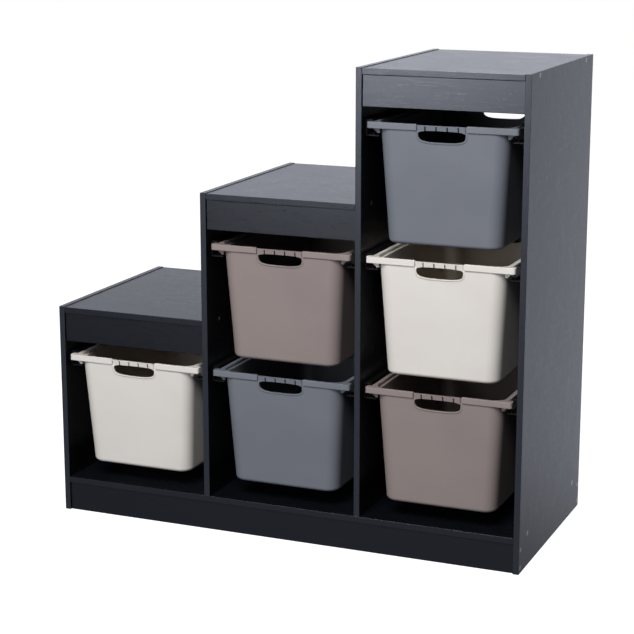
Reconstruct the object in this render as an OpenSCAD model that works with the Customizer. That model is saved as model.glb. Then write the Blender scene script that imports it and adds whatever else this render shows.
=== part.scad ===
// Stepped three-column storage frame with pull-out plastic bins.
// The frame is a knock-down carcass of laminated boards: four uprights, one
// bottom board, three top boards, front rails, plinths and grooved back boards.
// Each bin hangs by its side flanges on a pair of runners.
// +X runs along the width towards the tall column, -Y is the front, +Z is up.
// The origin is on the floor, at the middle of the width and of the depth.

/* [Frame] */
// Overall width across the outer panels
unit_w = 990; // [930:5:1080]
// Overall depth, front edge to rear edge of the uprights
unit_d = 440; // [440:5:500]
// Thickness of every board except the backs
board_t = 12; // [12:1:16]
// Height of the recessed plinths
plinth_h = 60; // [50:1:75]
// Height of the front rail under each top board
rail_h = 60; // [45:1:62]
// How far the uprights stand above the top boards
top_drop = 1; // [0.5:0.5:4]

/* [Levels] */
// Height of the lowest bin's rim above the floor
first_rim = 338; // [335:1:350]
// Vertical distance from one bin to the next
step_h = 256; // [256:1:290]
// Height of a column's upright above the rim of its top bin
headroom = 100; // [95:1:120]

/* [Bins] */
// Length of a bin, front lip to rear lip
bin_l = 415; // [380:1:415]
// Height of a bin, rim to underside
bin_h = 230; // [200:1:230]
// Side clearance between the front lip and the uprights
lip_gap = 10; // [6:0.5:12]
// Wall thickness of a bin
bin_wall = 2.5; // [2:0.1:3]
// Slope of the bin walls in degrees
bin_draft = 3.47; // [2:0.01:4.5]

/* [Back boards] */
// Thickness of a back board
back_t = 3; // [3:0.5:4]
// Half width of the hand hole in each back board
hole_a = 48; // [40:1:60]
// Half height of the hand hole in each back board
hole_b = 20; // [15:1:24]
// Sideways offset of the hand hole from the middle of its column
hole_dx = -10; // [-15:1:15]

/* [Hidden] */
$fn = 48;

laminate = [0.19, 0.20, 0.24];
rail_black = [0.05, 0.05, 0.06];
cream = [0.83, 0.81, 0.78];
taupe = [0.52, 0.47, 0.45];
slate = [0.45, 0.47, 0.51];
nickel = [0.80, 0.80, 0.82];
beech = [0.80, 0.65, 0.45];

// ---- layout ----
open_w = (unit_w - 4*board_t)/3;          // clear width of one column
pitch_x = open_w + board_t;
function col_x(c) = board_t + c*pitch_x;  // left face of column c's opening
function col_mid(c) = col_x(c) + open_w/2;
function rim_z(l) = first_rim + l*step_h; // rim height of level l
function up_top(c) = rim_z(c) + headroom; // upright height beside column c
function board_z(c) = up_top(c) - top_drop - board_t;  // underside of top board
base_z = plinth_h + board_t;              // upper face of the bottom board
rail_set = 4;                             // front rail set back from the front
plinth_set = 4;                           // plinth set back from the front
back_y = unit_d - 15;                     // front face of the back boards
groove = 3.5;                             // depth of the back-board grooves
screw_y = [55, unit_d - 55];              // rows of panel screws
plinth_z = [12, plinth_h - 12];
runner_y = [24, unit_d - 30];             // ends of a runner
runner_hole_y = [60, unit_d/2, unit_d - 70];
runner_hole_dz = -13;                     // runner screws below the rim

module place() { translate([-unit_w/2, -unit_d/2, 0]) children(); }

// ---- small shapes ----
// Rectangle with round corners of true arcs, from [x0,y0] to [x1,y1]
module rounded(x0, y0, x1, y1, r) {
  union() {
    translate([x0 + r, y0]) square([x1 - x0 - 2*r, y1 - y0]);
    translate([x0, y0 + r]) square([x1 - x0, y1 - y0 - 2*r]);
    for (p = [[x0 + r, y0 + r], [x1 - r, y0 + r], [x0 + r, y1 - r], [x1 - r, y1 - r]])
      translate(p) circle(r);
  }
}
// Points of a squared-off oval, a wide and b high
function oval(a, b, n, up, cnt = 40) = [for (i = [0 : cnt - 1])
  let (t = 360*i/cnt, c = cos(t), s = sin(t))
  [a*sign(c)*pow(abs(c), 2/n),
   (s > 0 ? up : b)*sign(s)*pow(abs(s), 2/(s > 0 ? 3 : n))]];
function plain_oval(a, b, n, cnt = 48) = [for (i = [0 : cnt - 1])
  let (t = 360*i/cnt, c = cos(t), s = sin(t))
  [a*sign(c)*pow(abs(c), 2/n), b*sign(s)*pow(abs(s), 2/n)]];

// ---- fasteners, drawn along +X with the head's face at the origin ----
module panel_screw() {
  difference() {
    union() {
      rotate([0, 90, 0]) cylinder(r1 = 4.5, r2 = 2.5, h = 2.4);
      rotate([0, 90, 0]) cylinder(r = 2.5, h = 45);
    }
    translate([-1, 0, 0]) rotate([0, 90, 0]) cylinder(r = 2, h = 2.8, $fn = 6);
  }
}
// The hole that a panel screw needs
module panel_bore() {
  translate([-0.01, 0, 0]) rotate([0, 90, 0]) cylinder(r1 = 4.66, r2 = 2.6, h = 2.5);
  translate([-1, 0, 0]) rotate([0, 90, 0]) cylinder(r = 2.6, h = 46.5);
}
module dowel(l) { rotate([0, 90, 0]) cylinder(r = 3, h = l); }
module dowel_bore(l) { rotate([0, 90, 0]) cylinder(r = 3.1, h = l); }
// Pan-head screw of a runner
module runner_screw() {
  difference() {
    union() {
      rotate([0, 90, 0]) cylinder(r = 1.6, h = 7.6);
      translate([-2, 0, 0]) rotate([0, 90, 0]) cylinder(r1 = 2.9, r2 = 3.5, h = 2);
    }
    translate([-2.5, -0.5, -2]) cube([1.3, 1, 4]);
    translate([-2.5, -2, -0.5]) cube([1.3, 4, 1]);
  }
}

// ---- positions of the fasteners ----
// Each entry is [y, z]; heads lie on the outer face of the upright
function end_yz(c) = concat([for (y = screw_y) [y, board_z(c) + board_t/2]],
                            [for (y = screw_y) [y, plinth_h + board_t/2]],
                            [for (z = plinth_z) [plinth_set + board_t/2, z]],
                            [for (z = plinth_z) [unit_d - plinth_set - board_t/2, z]]);
function top_yz(c) = [for (y = screw_y) [y, board_z(c) + board_t/2]];
function rail_dowel_z(c) = [board_z(c) - rail_h + 14, board_z(c) - 14];
rail_dowel_y = rail_set + board_t/2;
plinth_dowel_x = [unit_w*0.2, unit_w*0.5, unit_w*0.8];
plinth_dowel_y = [plinth_set + board_t/2, unit_d - plinth_set - board_t/2];

module screws_right(x, list) { for (p = list) translate([x, p[0], p[1]]) panel_screw(); }
module screws_left(x, list) { for (p = list) translate([x, p[0], p[1]]) mirror([1, 0, 0]) panel_screw(); }
module bores_right(x, list) { for (p = list) translate([x, p[0], p[1]]) panel_bore(); }
module bores_left(x, list) { for (p = list) translate([x, p[0], p[1]]) mirror([1, 0, 0]) panel_bore(); }

// Rail dowel holes and runner screw holes in the upright face at x.
// side is +1 when the column lies to the right of the face.
module upright_face(x, side, c) {
  for (z = rail_dowel_z(c)) translate([x, rail_dowel_y, z])
    mirror([side > 0 ? 1 : 0, 0, 0]) translate([-1, 0, 0]) dowel_bore(9.3);
  for (l = [0 : c], y = runner_hole_y) translate([x, y, rim_z(l) + runner_hole_dz])
    mirror([side > 0 ? 1 : 0, 0, 0]) translate([-1, 0, 0]) rotate([0, 90, 0]) cylinder(r = 1.65, h = 6.3);
}
// Groove for the back board in the upright face at x
module upright_groove(x, side, c, z0) {
  translate([side > 0 ? x - groove : x - 1, back_y - 0.2, z0])
    cube([groove + 1, back_t + 0.4, board_z(c) + groove - z0 + 0.2]);
}

// ---- uprights ----
module left_side_panel() place() color(laminate) difference() {
  cube([board_t, unit_d, up_top(0)]);
  bores_right(0, end_yz(0));
  upright_face(board_t, 1, 0);
  upright_groove(board_t, 1, 0, base_z - groove - 0.2);
}
module right_side_panel() place() color(laminate) difference() {
  translate([unit_w - board_t, 0, 0]) cube([board_t, unit_d, up_top(2)]);
  bores_left(unit_w, end_yz(2));
  upright_face(unit_w - board_t, -1, 2);
  upright_groove(unit_w - board_t, -1, 2, base_z - groove - 0.2);
}
module bottom_bores() {
  for (c = [1, 2], y = screw_y)
    translate([col_x(c) - board_t/2, y, plinth_h]) rotate([0, -90, 0]) panel_bore();
}
module divider(c) {
  x = col_x(c) - board_t;
  difference() {
    translate([x, 0, base_z]) cube([board_t, unit_d, up_top(c) - base_z]);
    bores_left(x + board_t, top_yz(c - 1));
    bores_right(x, top_yz(c));
    upright_face(x + board_t, 1, c);
    upright_face(x, -1, c - 1);
    upright_groove(x + board_t, 1, c, base_z - 1);
    upright_groove(x, -1, c - 1, base_z - 1);
    bottom_bores();
  }
}
module left_divider() place() color(laminate) divider(1);
module right_divider() place() color(laminate) divider(2);

// ---- horizontal boards ----
module bottom_board() place() color(laminate) difference() {
  translate([board_t, 0, plinth_h]) cube([unit_w - 2*board_t, unit_d, board_t]);
  bores_right(0, end_yz(0));
  bores_left(unit_w, end_yz(2));
  bottom_bores();
  translate([board_t - 1, back_y - 0.2, base_z - groove - 0.2])
    cube([unit_w - 2*board_t + 2, back_t + 0.4, groove + 2]);
  for (x = plinth_dowel_x, y = plinth_dowel_y)
    translate([x, y, plinth_h]) rotate([0, -90, 0]) translate([-1, 0, 0]) dowel_bore(9.3);
}
module plinth(y0) {
  difference() {
    translate([board_t, y0, 0]) cube([unit_w - 2*board_t, board_t, plinth_h]);
    bores_right(0, end_yz(0));
    bores_left(unit_w, end_yz(2));
    for (x = plinth_dowel_x, y = plinth_dowel_y)
      translate([x, y, plinth_h]) rotate([0, 90, 0]) translate([-1, 0, 0]) dowel_bore(17.3);
  }
}
module front_plinth() place() color(laminate) plinth(plinth_set);
module rear_plinth() place() color(laminate) plinth(unit_d - plinth_set - board_t);

module top_board(c) {
  x = col_x(c);
  difference() {
    translate([x, 0, board_z(c)]) cube([open_w, unit_d, board_t]);
    bores_right(x - board_t, top_yz(c));
    bores_left(x + open_w + board_t, top_yz(c));
    translate([x - 1, back_y - 0.2, board_z(c) - 1])
      cube([open_w + 2, back_t + 0.4, groove + 1.2]);
  }
}
module short_top_board() place() color(laminate) top_board(0);
module middle_top_board() place() color(laminate) top_board(1);
module tall_top_board() place() color(laminate) top_board(2);

module front_rail(c) {
  x = col_x(c);
  difference() {
    translate([x, rail_set, board_z(c) - rail_h]) cube([open_w, board_t, rail_h]);
    for (z = rail_dowel_z(c)) {
      translate([x - 1, rail_dowel_y, z]) dowel_bore(17.3);
      translate([x + open_w + 1, rail_dowel_y, z]) mirror([1, 0, 0]) dowel_bore(17.3);
    }
  }
}
module short_front_rail() place() color(laminate) front_rail(0);
module middle_front_rail() place() color(laminate) front_rail(1);
module tall_front_rail() place() color(laminate) front_rail(2);

// ---- back boards, each held in grooves on all four sides ----
module back_board(c) {
  g = groove - 0.2;
  difference() {
    translate([col_x(c) - g, back_y, base_z - g])
      cube([open_w + 2*g, back_t, board_z(c) - base_z + 2*g]);
    translate([col_mid(c) + hole_dx, back_y - 1, up_top(c) - 119.5]) rotate([90, 0, 0])
      mirror([0, 0, 1]) linear_extrude(back_t + 2) polygon(plain_oval(hole_a, hole_b, 2.3));
  }
}
module short_back_board() place() color(laminate) back_board(0);
module middle_back_board() place() color(laminate) back_board(1);
module tall_back_board() place() color(laminate) back_board(2);

// ---- runners ----
// Channel section: x from the upright's face, y up from the bin's rim
runner_section = [[0, 1.5], [13, 1.5], [13, -1.5], [2.5, -1.5], [2.5, -27],
                  [15.5, -27], [15.5, -24], [17.5, -24], [17.5, -27],
                  [26, -27], [26, -30], [0, -30]];
// Left runner of column c at level l; a right runner is its mirror image
module runner(c, l, side) {
  translate([col_mid(c), 0, rim_z(l)]) mirror([side < 0 ? 0 : 1, 0, 0])
    translate([-open_w/2, 0, 0]) difference() {
      translate([0, runner_y[1], 0]) rotate([90, 0, 0])
        linear_extrude(runner_y[1] - runner_y[0]) polygon(runner_section);
      for (y = runner_hole_y) translate([-1, y, runner_hole_dz])
        rotate([0, 90, 0]) cylinder(r = 1.7, h = 5);
    }
}
module runner_short_left() place() color(rail_black) runner(0, 0, -1);
module runner_short_right() place() color(rail_black) runner(0, 0, 1);
module runner_middle_lower_left() place() color(rail_black) runner(1, 0, -1);
module runner_middle_lower_right() place() color(rail_black) runner(1, 0, 1);
module runner_middle_upper_left() place() color(rail_black) runner(1, 1, -1);
module runner_middle_upper_right() place() color(rail_black) runner(1, 1, 1);
module runner_tall_lower_left() place() color(rail_black) runner(2, 0, -1);
module runner_tall_lower_right() place() color(rail_black) runner(2, 0, 1);
module runner_tall_middle_left() place() color(rail_black) runner(2, 1, -1);
module runner_tall_middle_right() place() color(rail_black) runner(2, 1, 1);
module runner_tall_upper_left() place() color(rail_black) runner(2, 2, -1);
module runner_tall_upper_right() place() color(rail_black) runner(2, 2, 1);

// ---- bins ----
lip_hw = open_w/2 - lip_gap;        // half width of the front lip
flange_hw = open_w/2 - 19;          // half width of the side flanges
body_hw = open_w/2 - 30;            // half width of the walls at the rim
front_set = 2.5;                    // front wall behind the lip's face
rear_lip = 10;                      // depth of the rear lip
lip_h = 12;
skirt_h = 26.5;
wing_d = 16;
function draft(z) = z*tan(bin_draft);
// Corner posts of a tapered, round-bottomed body: inset by w, floor raised by w
// steps = [height above the floor, extra inset]
module tub(w, top) {
  r0 = 26 - w;
  rb = 7.5 - w;
  steps = [[0, rb*0.75], [rb*0.13, rb*0.36], [rb*0.5, rb*0.1], [rb, 0]];
  hull() {
    for (s = concat(steps, [[bin_h - w + top, 0]])) {
      zz = -bin_h + w + s[0];
      d = draft(-min(zz, 0)) + w + s[1];
      r = max(r0 - s[1], 4);
      for (sx = [-1, 1], sy = [0, 1])
        translate([sx*(body_hw - d - r),
                   sy == 0 ? front_set + d + r : bin_l - rear_lip - d - r, zz])
          cylinder(r = r, h = 0.01, $fn = 32);
    }
  }
}
module handle_cut(y0, len) {
  translate([0, y0, -18]) rotate([90, 0, 0]) mirror([0, 0, 1])
    linear_extrude(len) polygon(oval(46, 15, 3.5, 6.5));
}
module bin_shape() {
  difference() {
    union() {
      tub(0, 0);
      // stepped collar round the rim, front lip with its two wings, rear lip
      translate([0, 0, -8.5]) linear_extrude(8.5)
        rounded(-body_hw - 4.5, front_set, body_hw + 4.5, bin_l - rear_lip + 2, 26);
      translate([0, 0, -lip_h]) linear_extrude(lip_h)
        rounded(-lip_hw, 0, lip_hw, wing_d, 5);
      translate([0, 0, -lip_h]) linear_extrude(lip_h)
        rounded(-flange_hw, bin_l - 26, flange_hw, bin_l, 9);
      for (s = [-1, 1]) {
        // flat flange and the skirt that rides on the runner
        translate([s > 0 ? body_hw : -flange_hw, 12, -2.5]) cube([flange_hw - body_hw, bin_l - 30, 2.5]);
        translate([s > 0 ? flange_hw - 2.5 : -flange_hw, wing_d - 2, -skirt_h])
          cube([2.5, bin_l - wing_d - 15, skirt_h]);
      }
    }
    tub(bin_wall, 1);
    // wide mouth above the inner ledge
    translate([0, 0, -6]) linear_extrude(8)
      rounded(-body_hw - 2, 5, body_hw + 2, bin_l - rear_lip - 0.5, 24);
    // hollow undersides of the wings and of the rear lip
    for (s = [-1, 1]) {
      translate([s > 0 ? body_hw + 4.5 : -lip_hw + 2.5, 2.5, -lip_h - 1])
        cube([lip_hw - body_hw - 7, wing_d - 5, lip_h - 1.5]);
      translate([s > 0 ? body_hw + 4.5 : -flange_hw + 2.5, wing_d, -lip_h - 1])
        cube([flange_hw - body_hw - 7, bin_l - wing_d - 12, lip_h - 1.5]);
    }
    translate([-body_hw + 20, bin_l - rear_lip + 2.2, -lip_h - 1])
      cube([2*body_hw - 40, rear_lip - 4.7, lip_h - 1.5]);
    // lowered grip with its row of slots down to the hand hole, and the hand holes
    translate([-50, -1, -2]) cube([100, 7, 4]);
    for (i = [-1.5 : 1.5]) translate([i*21.5 - 1.3, -1, -lip_h - 1]) cube([2.6, 9, 9.5]);
    handle_cut(-2, 14);
    handle_cut(bin_l - 26, 18);
  }
}
module bin(c, l) { place() translate([col_mid(c), 0, rim_z(l)]) bin_shape(); }
module bin_short() color(cream) bin(0, 0);
module bin_middle_lower() color(slate) bin(1, 0);
module bin_middle_upper() color(taupe) bin(1, 1);
module bin_tall_lower() color(taupe) bin(2, 0);
module bin_tall_middle() color(cream) bin(2, 1);
module bin_tall_upper() color(slate) bin(2, 2);

// ---- fastener groups ----
module left_panel_screws() place() color(nickel) screws_right(0, end_yz(0));
module right_panel_screws() place() color(nickel) screws_left(unit_w, end_yz(2));
module divider_screws(c) {
  screws_left(col_x(c), top_yz(c - 1));
  screws_right(col_x(c) - board_t, top_yz(c));
}
module left_divider_screws() place() color(nickel) divider_screws(1);
module right_divider_screws() place() color(nickel) divider_screws(2);
module bottom_board_screws() place() color(nickel)
  for (c = [1, 2], y = screw_y)
    translate([col_x(c) - board_t/2, y, plinth_h]) rotate([0, -90, 0]) panel_screw();
module plinth_dowels() place() color(beech)
  for (x = plinth_dowel_x, y = plinth_dowel_y)
    translate([x, y, plinth_h - 16]) rotate([0, -90, 0]) dowel(24);
module rail_dowels(c) {
  for (z = rail_dowel_z(c)) {
    translate([col_x(c) - 8, rail_dowel_y, z]) dowel(24);
    translate([col_x(c) + open_w - 16, rail_dowel_y, z]) dowel(24);
  }
}
module short_rail_dowels() place() color(beech) rail_dowels(0);
module middle_rail_dowels() place() color(beech) rail_dowels(1);
module tall_rail_dowels() place() color(beech) rail_dowels(2);
module runner_screws(c) {
  for (l = [0 : c], y = runner_hole_y, s = [-1, 1])
    translate([col_mid(c) + s*(open_w/2 - 2.5), y, rim_z(l) + runner_hole_dz])
      mirror([s < 0 ? 1 : 0, 0, 0]) runner_screw();
}
module runner_screws_short() place() color(nickel) runner_screws(0);
module runner_screws_middle() place() color(nickel) runner_screws(1);
module runner_screws_tall() place() color(nickel) runner_screws(2);

left_side_panel();
left_divider();
right_divider();
right_side_panel();
bottom_board();
front_plinth();
rear_plinth();
short_top_board();
middle_top_board();
tall_top_board();
short_front_rail();
middle_front_rail();
tall_front_rail();
short_back_board();
middle_back_board();
tall_back_board();
runner_short_left();
runner_short_right();
runner_middle_lower_left();
runner_middle_lower_right();
runner_middle_upper_left();
runner_middle_upper_right();
runner_tall_lower_left();
runner_tall_lower_right();
runner_tall_middle_left();
runner_tall_middle_right();
runner_tall_upper_left();
runner_tall_upper_right();
bin_short();
bin_middle_lower();
bin_middle_upper();
bin_tall_lower();
bin_tall_middle();
bin_tall_upper();
left_panel_screws();
right_panel_screws();
left_divider_screws();
right_divider_screws();
bottom_board_screws();
plinth_dowels();
short_rail_dowels();
middle_rail_dowels();
tall_rail_dowels();
runner_screws_short();
runner_screws_middle();
runner_screws_tall();
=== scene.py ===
import math

import bpy
import bmesh
from mathutils import Matrix, Vector


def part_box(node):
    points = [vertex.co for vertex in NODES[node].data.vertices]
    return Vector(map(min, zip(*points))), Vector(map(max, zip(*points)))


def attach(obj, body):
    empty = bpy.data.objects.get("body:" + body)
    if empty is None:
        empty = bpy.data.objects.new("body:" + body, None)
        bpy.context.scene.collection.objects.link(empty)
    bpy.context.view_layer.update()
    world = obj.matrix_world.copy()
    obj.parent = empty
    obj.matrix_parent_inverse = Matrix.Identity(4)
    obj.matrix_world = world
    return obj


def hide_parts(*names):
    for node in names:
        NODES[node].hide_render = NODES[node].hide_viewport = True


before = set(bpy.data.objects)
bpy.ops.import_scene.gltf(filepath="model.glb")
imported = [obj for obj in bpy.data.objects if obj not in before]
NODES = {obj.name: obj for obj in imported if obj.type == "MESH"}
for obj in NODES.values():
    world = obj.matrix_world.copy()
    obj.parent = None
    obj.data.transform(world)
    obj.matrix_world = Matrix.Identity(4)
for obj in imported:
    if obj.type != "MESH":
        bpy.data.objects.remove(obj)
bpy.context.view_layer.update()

SCENE = bpy.context.scene

# ------------------------------------------------------------------ camera
cam_data = bpy.data.cameras.new("camera")
cam_data.lens = 102.4
cam_data.sensor_width = 36.0
cam_data.clip_start = 0.05
cam = bpy.data.objects.new("camera", cam_data)
cam.location = (1.387, -3.346, 1.267)
cam.rotation_euler = (math.radians(90 - 13.28), 0, math.radians(22.7))
SCENE.collection.objects.link(cam)
SCENE.camera = cam


# ------------------------------------------------------------------ mesh helpers, in millimetres
def rect(x0, y0, x1, y1, r, n=9):
    """Outline of a rounded rectangle, anticlockwise from above."""
    pts = []
    for cx, cy, a0 in ((x1 - r, y0 + r, -90), (x1 - r, y1 - r, 0), (x0 + r, y1 - r, 90), (x0 + r, y0 + r, 180)):
        for i in range(n + 1):
            a = math.radians(a0 + 90 * i / n)
            pts.append((cx + r * math.cos(a), cy + r * math.sin(a)))
    return pts


def loft(rings, closed=False):
    """Mesh object through rings of 3-D points that all have the same count. Ends are capped unless the rings close on themselves."""
    bm = bmesh.new()
    vs = [[bm.verts.new(p) for p in ring] for ring in rings]
    n = len(rings[0])
    pairs = list(zip(vs, vs[1:])) + ([(vs[-1], vs[0])] if closed else [])
    for a, b in pairs:
        for i in range(n):
            j = (i + 1) % n
            bm.faces.new((a[i], a[j], b[j], b[i]))
    if not closed:
        bm.faces.new(vs[0])
        bm.faces.new(vs[-1])
    bmesh.ops.recalc_face_normals(bm, faces=bm.faces)
    me = bpy.data.meshes.new("loft")
    bm.to_mesh(me)
    bm.free()
    o = bpy.data.objects.new("loft", me)
    SCENE.collection.objects.link(o)
    return o


def flat_ring(outline, z):
    return [(x, y, z) for x, y in outline]


def inset(poly, d):
    """A convex anticlockwise polygon moved inwards by d."""
    out, n = [], len(poly)
    for i in range(n):
        p0, p1, p2 = (Vector(poly[(i + k) % n]) for k in (-1, 0, 1))
        a, b = (p1 - p0).normalized(), (p2 - p1).normalized()
        na, nb = Vector((-a.y, a.x)), Vector((-b.y, b.x))
        m = (na + nb).normalized()
        out.append(tuple(p1 + m * d / max(m.dot(na), 0.3)))
    return out


def prism(poly, w0, w1, put, c=0.4):
    """A plate of polygon outline between w0 and w1 with its rims broken by c. put(u, v, w) gives the 3-D point."""
    ins = inset(poly, c)
    rings = [[put(u, v, w) for u, v in p] for p, w in ((ins, w0), (poly, w0 + c), (poly, w1 - c), (ins, w1))]
    return loft(rings)


def boolean(base, other, op):
    m = base.modifiers.new("b", "BOOLEAN")
    m.operation, m.object, m.solver = op, other, "EXACT"
    dg = bpy.context.evaluated_depsgraph_get()
    me = bpy.data.meshes.new_from_object(base.evaluated_get(dg))
    base.modifiers.clear()
    old, base.data = base.data, me
    bpy.data.meshes.remove(old)
    gone = other.data
    bpy.data.objects.remove(other)
    bpy.data.meshes.remove(gone)


# ------------------------------------------------------------------ one moulded bin
# x across, y back from the front lip, z up from the rim
SLOPE = math.tan(math.radians(3.47))
BODY, COLLAR, MOUTH, FLANGE, LIP = 127.0, 131.5, 129.0, 138.0, 147.0
DEPTH, LENGTH, SET, REAR, WALL = 230.0, 415.0, 2.5, 405.0, 2.5


def body_ring(z, ins, w=0.0, n=9):
    """The drafted wall's outline at height z, moved in by ins at the floor fillet and by w for the inside face."""
    d = -z * SLOPE + w + ins
    r = max(26 - w - ins, 4.0)
    return flat_ring(rect(-BODY + d, SET + d, BODY - d, REAR - d, r, n), z)


def box_ring(hw, y0, y1, r, z, n=9):
    return flat_ring(rect(-hw, y0, hw, y1, r, n), z)


def hole_outline(grow=0.0, cnt=72):
    """The hand hole: flat along its top, bowed below. Centre is 18 mm under the rim."""
    pts = []
    for i in range(cnt):
        t = 2 * math.pi * i / cnt
        c, s = math.cos(t), math.sin(t)
        up = s > 0
        b, n = (6.5, 3.0) if up else (15.0, 3.5)
        x = (46.0 + grow) * math.copysign(abs(c) ** (2 / 3.5), c)
        z = (b + grow) * math.copysign(abs(s) ** (2 / n), s)
        pts.append((x, z - 18.0))
    return pts


def wall_y(z):
    return SET - z * SLOPE


def rear_y(z):
    return REAR + z * SLOPE


def make_bin_mesh():
    # outside of the tub: recessed foot, floor fillet, drafted wall, collar
    rings = [body_ring(-228.7, 31), body_ring(-228.8, 29.6), body_ring(-229.4, 28.9), body_ring(-229.85, 28.4),
             body_ring(-230, 27.6), body_ring(-230, 7.5)]
    for k in range(1, 10):
        a = math.radians(10 * k)
        rings.append(body_ring(-230 + 7.5 * (1 - math.cos(a)), 7.5 * (1 - math.sin(a))))
    rings += [body_ring(z, 0) for z in (-160, -105, -55, -20, -9.4)]
    rings += [box_ring(BODY + 0.1, SET + 0.5, REAR - 0.1, 26, -8.85),
              box_ring(BODY + 1.0, SET + 0.45, REAR + 0.6, 26, -8.55),
              box_ring(COLLAR - 0.5, SET + 0.4, REAR + 1.6, 26, -8.5),
              box_ring(COLLAR - 0.12, SET + 0.1, REAR + 1.9, 26, -8.35),
              box_ring(COLLAR, SET, REAR + 2, 26, -7.9), box_ring(COLLAR, SET, REAR + 2, 26, -0.8),
              box_ring(COLLAR - 0.25, SET + 0.25, REAR + 1.75, 26, -0.25),
              box_ring(COLLAR - 0.8, SET + 0.8, REAR + 1.2, 26, 0)]
    tub = loft(rings)

    # front lip with its two wings
    lip = [(-12, 0.9), (-11.9, 0.45), (-11.55, 0.1), (-11.1, 0), (-6, 0), (-1.3, 0), (-0.75, 0.1), (-0.35, 0.35), (-0.1, 0.75), (0, 1.3)]
    boolean(tub, loft([box_ring(LIP - i, i, 16 - i, 5 - i, z) for z, i in lip]), "UNION")

    # flange round both sides and the back, with a raised outer edge
    prof = [(0.5, -12), (0.15, -11.85), (0, -11.5), (0, -0.7), (0.2, -0.2), (0.7, 0), (1.5, 0), (1.9, -0.12), (2.1, -0.35),
            (2.4, -0.6), (8.6, -0.6), (8.6, -3.7), (2.9, -3.7), (2.5, -4.1), (2.5, -11.6), (2.1, -12)]
    boolean(tub, loft([box_ring(FLANGE - u, 12 + u, LENGTH - u, max(9 - u, 1.2), z) for u, z in prof], closed=True), "UNION")

    # skirts that ride on the runners, with a lead-in at the front
    for s in (-1, 1):
        skirt = [(14.6, -17.0), (20.5, -19.0), (38.0, -26.4), (392.0, -26.4), (397.6, -20.0), (397.6, -2.2), (14.6, -2.2)]
        boolean(tub, prism(skirt, 135.7, 137.7, lambda u, v, w: (s * w, u, v)), "UNION")
        # stepped gusset under each wing
        for x0, x1, low in ((132.6, 136.6, -15.6), (129.6, 133.4, -18.6), (124.4, 130.4, -21.4)):
            web = [(x0, low), (x1, low), (x1, -2.4), (x0, -2.4)]
            boolean(tub, prism(web, 11.4, 14.2, lambda u, v, w: (s * u, w, v), 0.35), "UNION")

    # face of the lowered grip, and the beads round the hand holes
    boolean(tub, loft([box_ring(46.8 - i, 0.95 + i, 4.6, 0.5, z) for z, i in ((-14.4, 0.7), (-14.1, 0.2), (-13.7, 0), (-3.0, 0))]), "UNION")
    bead = [(4.5, 1.6), (4.5, 0.25), (4.2, -0.1), (3.6, -0.4), (2.9, -0.6), (2.4, -1.05), (1.7, -1.3), (0.2, -1.3)]
    boolean(tub, loft([[(x, wall_y(z) + d, z) for x, z in hole_outline(g)] for g, d in bead]), "UNION")
    boolean(tub, loft([[(x, rear_y(z) - d, z) for x, z in hole_outline(g)] for g, d in bead]), "UNION")

    # the space inside, with its ledge under the mouth
    rings = [box_ring(MOUTH + 2.6, 3.2, 406.3, 26, 4), box_ring(MOUTH + 0.75, 4.25, 405.25, 24.7, 0.001),
             box_ring(MOUTH + 0.2, 4.8, 404.7, 24.2, -0.3), box_ring(MOUTH, 5, 404.5, 24, -0.9),
             box_ring(MOUTH, 5, 404.5, 24, -5.7), box_ring(MOUTH - 0.25, 5.1, 404.3, 24, -6),
             box_ring(125.0, 5.15, 403.1, 24, -6.05), box_ring(124.4, 5.3, 402.4, 23.6, -6.4),
             body_ring(-7.2, 0, WALL)]
    rings += [body_ring(z, 0, WALL) for z in (-20, -55, -105, -160)]
    for k in range(9, -1, -1):
        a = math.radians(10 * k)
        rings.append(body_ring(-227.5 + 5 * (1 - math.cos(a)), 5 * (1 - math.sin(a)), WALL))
    boolean(tub, loft(rings), "DIFFERENCE")

    # hand holes, flared at the face so that the edge is round
    cut = [(1.5, -6.0), (0.95, -1.42), (0.45, -1.2), (0.12, -0.8), (0, -0.2), (0, 9.0)]
    boolean(tub, loft([[(x, wall_y(z) + d, z) for x, z in hole_outline(g)] for g, d in cut]), "DIFFERENCE")
    boolean(tub, loft([[(x, rear_y(z) - d, z) for x, z in hole_outline(g)] for g, d in cut]), "DIFFERENCE")

    # hollow undersides of the wings
    for s in (-1, 1):
        hollow = [(s * 136.8, 2.6), (s * 144.4, 2.6), (s * 144.4, 13.3), (s * 136.8, 13.3)]
        if s < 0:
            hollow.reverse()
        boolean(tub, loft([flat_ring(hollow, -13), flat_ring(hollow, -2.8), flat_ring(inset(hollow, 0.6), -2.4)]), "DIFFERENCE")

    # lowered grip: 2 mm down, its face set back, four slots and a notch at each end
    def grip(y):
        return [(-49.2, -2), (49.2, -2), (49.2, y), (-49.2, y)]
    boolean(tub, loft([flat_ring(grip(y), z) for y, z in ((2.35, -15), (2.35, -11.3), (0.95, -3.0), (0.95, 2))]), "DIFFERENCE")
    top = [(-49.2, -2), (49.2, -2), (49.2, 6.2), (-49.2, 6.2)]
    boolean(tub, loft([flat_ring(top, -2), flat_ring(top, 3)]), "DIFFERENCE")
    for x, w, top_d, low_d, z0, z1 in [(k * 21.5, 1.3, 8.0, 8.0, -13.0, -3.5) for k in (-1.5, -0.5, 0.5, 1.5)] + [(s * 47.3, 1.9, 1.8, 4.4, -15.5, 1) for s in (-1, 1)]:
        ends = [[(x - w, -2), (x + w, -2), (x + w, d - 0.3), (x + w - 0.3, d), (x - w + 0.3, d), (x - w, d - 0.3)] for d in (low_d, low_d, top_d)]
        boolean(tub, loft([flat_ring(p, z) for p, z in zip(ends, (z0, -11.0, z1))]), "DIFFERENCE")

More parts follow.
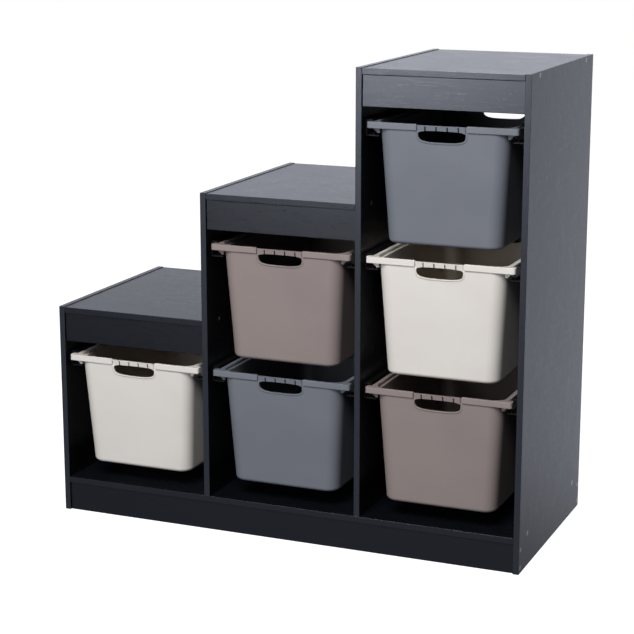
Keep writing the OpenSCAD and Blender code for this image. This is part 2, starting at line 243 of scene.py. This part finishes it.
    bm = bmesh.new()
    bm.from_mesh(tub.data)
    bmesh.ops.remove_doubles(bm, verts=bm.verts, dist=0.02)
    bmesh.ops.dissolve_degenerate(bm, edges=bm.edges, dist=0.01)
    bmesh.ops.scale(bm, vec=(0.001,) * 3, verts=bm.verts)
    me = bpy.data.meshes.new("bin")
    bm.to_mesh(me)
    bm.free()
    old = tub.data
    bpy.data.objects.remove(tub)
    bpy.data.meshes.remove(old)
    me.polygons.foreach_set("use_smooth", [True] * len(me.polygons))
    me.set_sharp_from_angle(angle=math.radians(38))
    return me


# ------------------------------------------------------------------ materials
class Mat:
    """A node material with a few short cuts. Coordinates are the piece's own, in metres."""

    def __init__(self, name):
        self.m = bpy.data.materials.new(name)
        self.m.use_nodes = True
        self.t = self.m.node_tree
        self.t.nodes.clear()
        self.out = self.t.nodes.new("ShaderNodeOutputMaterial")
        self.p = self.t.nodes.new("ShaderNodeBsdfPrincipled")
        self.t.links.new(self.p.outputs[0], self.out.inputs[0])
        self.obj = self.t.nodes.new("ShaderNodeTexCoord").outputs["Object"]

    def link(self, a, b):
        self.t.links.new(a, b)

    def noise(self, scale, detail=3, rough=0.55, off=(0, 0, 0), distort=0.0):
        """Noise stretched by a scale for each axis, in cells a metre. It returns the grey value, 0 to 1."""
        mp = self.t.nodes.new("ShaderNodeMapping")
        mp.inputs["Scale"].default_value = scale
        mp.inputs["Location"].default_value = off
        self.link(self.obj, mp.inputs[0])
        n = self.t.nodes.new("ShaderNodeTexNoise")
        n.inputs["Scale"].default_value = 1.0
        n.inputs["Detail"].default_value = detail
        n.inputs["Roughness"].default_value = rough
        n.inputs["Distortion"].default_value = distort
        self.link(mp.outputs[0], n.inputs["Vector"])
        return n.outputs["Fac"]

    def remap(self, v, a, b, c, d, smooth=False):
        n = self.t.nodes.new("ShaderNodeMapRange")
        if smooth:
            n.interpolation_type = "SMOOTHSTEP"
        self.link(v, n.inputs[0])
        for i, x in enumerate((a, b, c, d)):
            n.inputs[1 + i].default_value = x
        return n.outputs[0]

    def math(self, op, a, b=None):
        n = self.t.nodes.new("ShaderNodeMath")
        n.operation = op
        for i, x in enumerate((a, b)):
            if x is None:
                continue
            if isinstance(x, (int, float)):
                n.inputs[i].default_value = x
            else:
                self.link(x, n.inputs[i])
        return n.outputs[0]

    def mix(self, f, a, b, kind="MIX"):
        n = self.t.nodes.new("ShaderNodeMix")
        n.data_type = "RGBA"
        n.blend_type = kind
        for sock, x in ((n.inputs[0], f), (n.inputs[6], a), (n.inputs[7], b)):
            if isinstance(x, (int, float)):
                sock.default_value = x
            elif isinstance(x, tuple):
                sock.default_value = (*x, 1.0)
            else:
                self.link(x, sock)
        return n.outputs[2]

    def bump(self, h, strength, dist):
        n = self.t.nodes.new("ShaderNodeBump")
        n.inputs["Strength"].default_value = strength
        n.inputs["Distance"].default_value = dist
        self.link(h, n.inputs["Height"])
        self.link(n.outputs[0], self.p.inputs["Normal"])

    def facing(self, axis):
        """How far the true surface normal lies along one of the object's axes, 0 to 1."""
        g = self.t.nodes.new("ShaderNodeNewGeometry")
        s = self.t.nodes.new("ShaderNodeSeparateXYZ")
        self.link(g.outputs["True Normal"], s.inputs[0])
        return self.math("ABSOLUTE", s.outputs["XYZ".index(axis)])


def lin(r, g, b):
    return tuple(((c / 255 + 0.055) / 1.055) ** 2.4 if c > 10 else c / 255 / 12.92 for c in (r, g, b))


def stretch(axis, along, across):
    return tuple(along if a == axis else across for a in "XYZ")


def laminate(name, axis, seed, dark=(5, 7, 10), light=(17, 19, 27), band=0.0, painted_edge_highlight=False, deep=0.0):
    """Foil with an embossed ash grain that runs along one axis. band is how much lighter the front edge strip is,
    and deep how much painted shade darkens the faces that look along +X, which a compartment hides from the light."""
    k = Mat(name)
    off = (seed * 1.7, seed * 2.3, seed * 3.1)
    fibre = k.noise(stretch(axis, 22, 760), 3, 0.6, off)
    streak = k.noise(stretch(axis, 30, 270), 3, 0.62, off, 0.1)
    mottle = k.noise(stretch(axis, 120, 210), 3, 0.6, off)
    cloud = k.noise(stretch(axis, 9, 22), 3, 0.6, off)
    tone = k.math("ADD", k.math("MULTIPLY", fibre, 0.3), k.math("MULTIPLY", streak, 0.4))
    tone = k.math("ADD", tone, k.math("MULTIPLY", mottle, 0.3))
    tone = k.remap(tone, 0.38, 0.62, 0, 1)
    c = k.mix(tone, lin(*dark), lin(*light))
    c = k.mix(k.remap(cloud, 0.3, 0.7, 0.0, 0.2), c, (0.0035, 0.004, 0.0055))
    if band:
        edge = k.math("GREATER_THAN", k.facing("Y"), 0.9)
        c = k.mix(k.math("MULTIPLY", edge, band), c, lin(51, 54, 62))
        tint = k.mix(k.math("MULTIPLY", edge, min(1.0, band / 0.6)), (0.84, 0.885, 1.0), (0.505, 0.535, 0.60))
        # painted shade: faces that look along +X get a near-black colour and a dimmed reflection, standing in for the
        # shade inside the compartments
        if deep:
            g, xyz = k.t.nodes.new("ShaderNodeNewGeometry"), k.t.nodes.new("ShaderNodeSeparateXYZ")
            k.link(g.outputs["True Normal"], xyz.inputs[0])
            hid = k.math("MULTIPLY", k.math("GREATER_THAN", xyz.outputs[0], 0.9), deep)
            c = k.mix(hid, c, (0.0006, 0.0006, 0.0008))
            tint = k.mix(hid, tint, (0.05, 0.05, 0.06))
        k.link(tint, k.p.inputs["Specular Tint"])
    else:
        k.p.inputs["Specular Tint"].default_value = (0.84, 0.885, 1.0, 1.0)
    # painted highlight: the broken edges are mixed towards a lighter grey, standing in for the light they catch
    if painted_edge_highlight:
        c = k.mix(0.2, c, lin(58, 60, 66))
    k.link(c, k.p.inputs["Base Color"])
    r = k.math("ADD", k.remap(tone, 0, 1, 0.325, 0.25), k.math("MULTIPLY", cloud, 0.03))
    k.link(r, k.p.inputs["Roughness"])
    k.p.inputs["Specular IOR Level"].default_value = 0.88
    k.bump(k.math("ADD", k.math("MULTIPLY", streak, 0.6), k.math("MULTIPLY", mottle, 0.5)), 0.3, 0.00014)
    return k.m


def plastic(name, base, deep, seed, inside_painted_shade, spec=0.34):
    """Moulded polypropylene with a fine satin texture."""
    k = Mat(name)
    off = (seed * 1.3, seed * 0.7, seed * 2.9)
    flow = k.noise((5, 5, 9), 3, 0.5, off, 0.4)
    cloud = k.noise((26, 26, 30), 3, 0.6, off)
    spark = k.noise((2600, 2600, 2600), 2, 0.5, off)
    scuff = k.noise((420, 420, 18), 3, 0.7, off)
    c = k.mix(k.remap(flow, 0.32, 0.68, 0, 1, True), lin(*base), lin(*deep))
    c = k.mix(k.math("MULTIPLY", k.remap(cloud, 0.35, 0.7, 0, 1), 0.10), c, tuple(x * 0.86 for x in lin(*deep)))
    c = k.mix(k.math("MULTIPLY", k.remap(scuff, 0.64, 0.78, 0, 1, True), 0.07), c, tuple(min(1, x * 1.25 + 0.01) for x in lin(*base)))
    # painted shade: the inside of the tub is multiplied towards a darker colour (warmer for cream), standing in for
    # the shade inside it
    xyz = k.t.nodes.new("ShaderNodeSeparateXYZ")
    k.link(k.obj, xyz.inputs[0])
    lean = k.math("MULTIPLY", xyz.outputs[2], SLOPE)
    qx = k.math("SUBTRACT", k.math("ABSOLUTE", xyz.outputs[0]), k.math("ADD", lean, 0.101))
    qy = k.math("SUBTRACT", k.math("ABSOLUTE", k.math("SUBTRACT", xyz.outputs[1], 0.20375)), k.math("ADD", lean, 0.17525))
    qx, qy = k.math("MAXIMUM", qx, 0.0), k.math("MAXIMUM", qy, 0.0)
    inside = k.math("LESS_THAN", k.math("ADD", k.math("MULTIPLY", qx, qx), k.math("MULTIPLY", qy, qy)), 0.02475 ** 2)
    for op, at in (("LESS_THAN", -0.0065), ("GREATER_THAN", -0.22875)):
        inside = k.math("MULTIPLY", inside, k.math(op, xyz.outputs[2], at))
    c = k.mix(k.math("MULTIPLY", inside, 0.9), c, inside_painted_shade, "MULTIPLY")
    k.link(c, k.p.inputs["Base Color"])
    r = k.math("ADD", k.remap(flow, 0.3, 0.7, 0.44, 0.52), k.math("MULTIPLY", scuff, 0.06))
    k.link(r, k.p.inputs["Roughness"])
    k.p.inputs["Specular IOR Level"].default_value = spec
    k.bump(k.math("ADD", spark, k.math("MULTIPLY", cloud, 0.6)), 0.22, 0.00006)
    return k.m


def metal(name):
    k = Mat(name)
    turn = k.noise((900, 900, 900), 3, 0.6)
    dull = k.noise((160, 160, 160), 3, 0.6)
    k.link(k.mix(k.remap(dull, 0.3, 0.7, 0, 1), (0.62, 0.62, 0.60), (0.78, 0.77, 0.74)), k.p.inputs["Base Color"])
    k.link(k.remap(turn, 0.3, 0.7, 0.22, 0.40), k.p.inputs["Roughness"])
    k.p.inputs["Metallic"].default_value = 1.0
    k.bump(turn, 0.2, 0.00005)
    return k.m


def wood(name):
    k = Mat(name)
    rings = k.noise((900, 120, 900), 4, 0.6, (3, 1, 2), 0.3)
    k.link(k.mix(k.remap(rings, 0.35, 0.65, 0, 1), lin(196, 160, 112), lin(222, 190, 142)), k.p.inputs["Base Color"])
    k.link(k.remap(rings, 0.3, 0.7, 0.75, 0.6), k.p.inputs["Roughness"])
    k.bump(rings, 0.4, 0.0002)
    return k.m


def hardboard(name):
    """Thin back board: printed face, fibrous surface."""
    k = Mat(name)
    fibre = k.noise((260, 260, 260), 5, 0.7)
    weave = k.noise((1400, 900, 1400), 2, 0.5)
    cloud = k.noise((7, 7, 12), 3, 0.6)
    c = k.mix(k.remap(fibre, 0.3, 0.7, 0, 1), lin(22, 23, 27), lin(34, 36, 41))
    c = k.mix(k.remap(cloud, 0.3, 0.7, 0, 0.3), c, (0.008, 0.009, 0.011))
    k.link(c, k.p.inputs["Base Color"])
    k.link(k.remap(fibre, 0.3, 0.7, 0.62, 0.5), k.p.inputs["Roughness"])
    k.p.inputs["Specular IOR Level"].default_value = 0.3
    k.bump(k.math("ADD", fibre, k.math("MULTIPLY", weave, 0.4)), 0.35, 0.0002)
    return k.m


def runner_plastic(name):
    k = Mat(name)
    grain = k.noise((1500, 1500, 1500), 3, 0.5)
    wear = k.noise((220, 9, 220), 4, 0.65)
    rub = k.remap(wear, 0.56, 0.72, 0, 1, True)
    c = k.mix(k.math("MULTIPLY", rub, 0.5), lin(9, 9, 11), lin(24, 25, 28))
    k.link(c, k.p.inputs["Base Color"])
    k.link(k.remap(wear, 0.3, 0.7, 0.58, 0.46), k.p.inputs["Roughness"])
    k.p.inputs["Specular IOR Level"].default_value = 0.3
    k.bump(grain, 0.3, 0.00008)
    return k.m


upright = laminate("laminate_upright", "Z", 1, band=0.6)
# the uprights whose +X faces look into a compartment carry painted shade on those faces
upright_painted_shade = laminate("laminate_upright_in", "Z", 1, band=0.6, deep=0.6)
shelf = laminate("laminate_board", "X", 3, band=0.2)
cross = laminate("laminate_rail", "X", 2)
# the boards' broken edges get a lighter foil, a painted highlight
upright_edge = laminate("laminate_upright_edge", "Z", 1, painted_edge_highlight=True)
cross_edge = laminate("laminate_cross_edge", "X", 2, painted_edge_highlight=True)
# painted shade: the rails' broken edges get a near-black foil with little reflection, standing in for the shade in the
# groove between rail and board
seam_painted_shade = laminate("laminate_seam", "X", 2, dark=(3, 3, 4), light=(8, 8, 10))
seam_painted_shade.node_tree.nodes["Principled BSDF"].inputs["Specular IOR Level"].default_value = 0.15
back = hardboard("back_laminate")
runner = runner_plastic("runner_plastic")
nickel = metal("nickel")
beech = wood("beech")
# each bin colour's last tuple is the painted shade multiplied into the inside of its tub
cream = plastic("bin_cream", (216, 212, 206), (212, 207, 201), 1, (0.93, 0.87, 0.79))
taupe = plastic("bin_taupe", (138, 127, 124), (134, 123, 121), 2, (0.84, 0.83, 0.82))
slate = plastic("bin_slate", (109, 113, 121), (105, 109, 117), 3, (0.84, 0.84, 0.84))

UPRIGHTS = ("left_side_panel", "left_divider", "right_divider", "right_side_panel")
def outer_edges():
    """Geometry nodes that weight the edges lying on the edges of a piece's own box, for the bevel."""
    g = bpy.data.node_groups.new("outer_edges", "GeometryNodeTree")
    g.interface.new_socket("Geometry", in_out="INPUT", socket_type="NodeSocketGeometry")
    g.interface.new_socket("Geometry", in_out="OUTPUT", socket_type="NodeSocketGeometry")
    new, link = g.nodes.new, g.links.new
    start, end = new("NodeGroupInput"), new("NodeGroupOutput")
    box, pos, store = new("GeometryNodeBoundBox"), new("GeometryNodeInputPosition"), new("GeometryNodeStoreNamedAttribute")
    link(start.outputs[0], box.inputs[0])
    total = None
    for side in ("Min", "Max"):
        sub, mag, sep = new("ShaderNodeVectorMath"), new("ShaderNodeVectorMath"), new("ShaderNodeSeparateXYZ")
        sub.operation, mag.operation = "SUBTRACT", "ABSOLUTE"
        link(pos.outputs[0], sub.inputs[0])
        link(box.outputs[side], sub.inputs[1])
        link(sub.outputs[0], mag.inputs[0])
        link(mag.outputs[0], sep.inputs[0])
        for k in range(3):
            near = new("ShaderNodeMath")
            near.operation = "LESS_THAN"
            near.inputs[1].default_value = 0.00004
            link(sep.outputs[k], near.inputs[0])
            if total is None:
                total = near.outputs[0]
                continue
            add = new("ShaderNodeMath")
            link(total, add.inputs[0])
            link(near.outputs[0], add.inputs[1])
            total = add.outputs[0]
    both = new("ShaderNodeMath")
    both.operation = "GREATER_THAN"
    both.inputs[1].default_value = 1.5
    link(total, both.inputs[0])
    store.data_type, store.domain = "FLOAT", "EDGE"
    store.inputs["Name"].default_value = "bevel_weight_edge"
    link(start.outputs[0], store.inputs["Geometry"])
    link(both.outputs[0], store.inputs["Value"])
    link(store.outputs[0], end.inputs[0])
    return g


def flat_faces():
    """Geometry nodes that give every face its own plain normal."""
    g = bpy.data.node_groups.new("flat_faces", "GeometryNodeTree")
    g.interface.new_socket("Geometry", in_out="INPUT", socket_type="NodeSocketGeometry")
    g.interface.new_socket("Geometry", in_out="OUTPUT", socket_type="NodeSocketGeometry")
    drop, shade = g.nodes.new("GeometryNodeRemoveAttribute"), g.nodes.new("GeometryNodeSetShadeSmooth")
    drop.inputs["Name"].default_value = "custom_normal"
    shade.inputs["Shade Smooth"].default_value = False
    g.links.new(g.nodes.new("NodeGroupInput").outputs[0], drop.inputs["Geometry"])
    g.links.new(drop.outputs[0], shade.inputs["Geometry"])
    g.links.new(shade.outputs[0], g.nodes.new("NodeGroupOutput").inputs[0])
    return g


OUTER_EDGES, FLAT_FACES = outer_edges(), flat_faces()
for name, o in NODES.items():
    if name.startswith("bin_"):
        continue
    if "screws" in name:
        mats, width = [nickel], 0
    elif "dowels" in name:
        mats, width = [beech], 0
    elif name.startswith("runner_"):
        mats, width = [runner], 0.0003
    elif "back_board" in name:
        mats, width = [back], 0.0003
    elif name in UPRIGHTS:
        mats, width = [upright if name == "right_side_panel" else upright_painted_shade, upright_edge], 0.0005
    elif name.endswith("_board"):
        mats, width = [shelf, cross_edge], 0.0008
    else:
        mats, width = [cross, seam_painted_shade], 0.0011
    o.data.materials.clear()
    for m in mats:
        o.data.materials.append(m)
    if width:
        w = o.modifiers.new("weld", "WELD")
        w.merge_threshold = 0.00002
        board = width >= 0.0005
        if board:
            # only a board's outer edges are broken, not its screw holes and grooves
            d = o.modifiers.new("merge", "DECIMATE")
            d.decimate_type, d.angle_limit = "DISSOLVE", math.radians(0.5)
            o.modifiers.new("outer", "NODES").node_group = OUTER_EDGES
        b = o.modifiers.new("edges", "BEVEL")
        b.width, b.segments, b.limit_method, b.angle_limit = width, 2, "WEIGHT" if board else "ANGLE", math.radians(50)
        b.use_clamp_overlap = False
        b.material = len(mats) - 1
        if board:
            o.modifiers.new("faces", "NODES").node_group = FLAT_FACES

# ------------------------------------------------------------------ bins
BINS = {
    "bin_short": (cream, "bin_cream"), "bin_middle_lower": (slate, "bin_slate"), "bin_middle_upper": (taupe, "bin_taupe"),
    "bin_tall_lower": (taupe, "bin_taupe"), "bin_tall_middle": (cream, "bin_cream"), "bin_tall_upper": (slate, "bin_slate"),
}
bin_mesh = make_bin_mesh()
for name, (material, slot) in BINS.items():
    lo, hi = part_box(name)
    me = bin_mesh.copy()
    me.name = name + "_moulding"
    me.materials.clear()
    me.materials.append(material)
    o = bpy.data.objects.new(name + "_moulding", me)
    SCENE.collection.objects.link(o)
    o.location = ((lo.x + hi.x) / 2, lo.y, hi.z)
    n = o.modifiers.new("normals", "WEIGHTED_NORMAL")
    n.weight, n.keep_sharp = 80, True
    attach(o, name + "_body")
    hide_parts(name)
bpy.data.meshes.remove(bin_mesh)

# ------------------------------------------------------------------ stage and light
SCENE.view_settings.view_transform = "Standard"
SCENE.view_settings.look = "None"
SCENE.view_settings.exposure = 0.0
SCENE.view_settings.gamma = 1.0

bm = bmesh.new()
bmesh.ops.create_grid(bm, x_segments=8, y_segments=8, size=9.0)
floor_mesh = bpy.data.meshes.new("floor")
bm.to_mesh(floor_mesh)
bm.free()
floor = bpy.data.objects.new("floor", floor_mesh)
SCENE.collection.objects.link(floor)
pale = bpy.data.materials.new("pale_floor")
pale.use_nodes = True
fp = pale.node_tree.nodes["Principled BSDF"]
fp.inputs["Base Color"].default_value = (0.26, 0.26, 0.26, 1)
fp.inputs["Roughness"].default_value = 0.9
fp.inputs["Specular IOR Level"].default_value = 0.1
fp.inputs["Emission Color"].default_value = (1, 1, 1, 1)
fp.inputs["Emission Strength"].default_value = 1.0
floor_mesh.materials.append(pale)
floor.location.z = -0.0004
floor.visible_glossy = False
floor.visible_diffuse = False
floor.visible_shadow = False


def area(name, loc, target, size, power, colour=(1, 1, 1)):
    l = bpy.data.lights.new(name, "AREA")
    l.shape = "RECTANGLE"
    l.size, l.size_y = size
    l.energy = power
    l.color = colour
    o = bpy.data.objects.new(name, l)
    SCENE.collection.objects.link(o)
    o.location = loc
    o.rotation_euler = (Vector(target) - Vector(loc)).to_track_quat("-Z", "Y").to_euler()
    o.visible_camera = False
    return o


area("key", (-1.0, -3.6, 1.19), (0, 0, 0.6), (1.1, 1.33), 41, (0.97, 0.98, 1.0))
area("overhead", (0.3, -2.7, 2.9), (0, 0, 0.5), (1.8, 1.4), 128, (1.0, 0.99, 0.98))
area("rear", (-0.3, 1.5, 3.7), (0, 0.1, 0.5), (1.6, 1.2), 40)

world = bpy.data.worlds.new("studio")
SCENE.world = world
world.use_nodes = True
wt = world.node_tree
wt.nodes.clear()
wo = wt.nodes.new("ShaderNodeOutputWorld")
seen = wt.nodes.new("ShaderNodeBackground")
seen.inputs[0].default_value = (1, 1, 1, 1)
lit = wt.nodes.new("ShaderNodeBackground")
both = wt.nodes.new("ShaderNodeMixShader")
path = wt.nodes.new("ShaderNodeLightPath")
wt.links.new(path.outputs["Is Camera Ray"], both.inputs[0])
wt.links.new(lit.outputs[0], both.inputs[1])
wt.links.new(seen.outputs[0], both.inputs[2])
wt.links.new(both.outputs[0], wo.inputs[0])
tc = wt.nodes.new("ShaderNodeTexCoord")
sp = wt.nodes.new("ShaderNodeSeparateXYZ")
wt.links.new(tc.outputs["Generated"], sp.inputs[0])


def sky(axis, a, b, c, d):
    """A smooth step in the light's strength along one world axis."""
    n = wt.nodes.new("ShaderNodeMapRange")
    n.interpolation_type = "SMOOTHSTEP"
    for i, x in enumerate((a, b, c, d)):
        n.inputs[1 + i].default_value = x
    wt.links.new(sp.outputs["XYZ".index(axis)], n.inputs[0])
    return n.outputs[0]


def combine(op, *socks):
    out = socks[0]
    for s in socks[1:]:
        n = wt.nodes.new("ShaderNodeMath")
        n.operation = op
        wt.links.new(out, n.inputs[0])
        wt.links.new(s, n.inputs[1])
        out = n.outputs[0]
    return out


# a bright backdrop behind, brightest low down and to the left; a dim room and a paler floor in front
behind = combine("MULTIPLY", sky("Y", -0.1, 0.6, 0, 2.18), sky("Z", 0.055, 0.265, 1, 0.11), sky("X", 0.05, 0.305, 1, 0.085), sky("Z", -0.365, -0.31, 0.25, 1))
front = combine("MULTIPLY", sky("Y", -0.6, 0.1, 1, 0), sky("Z", -0.42, -0.24, 0.25, 0.04))
right = sky("X", 0.74, 0.99, 0, 0.5)
wt.links.new(combine("ADD", behind, front, right), lit.inputs[1])
lit.inputs[0].default_value = (0.86, 0.885, 1.0, 1)
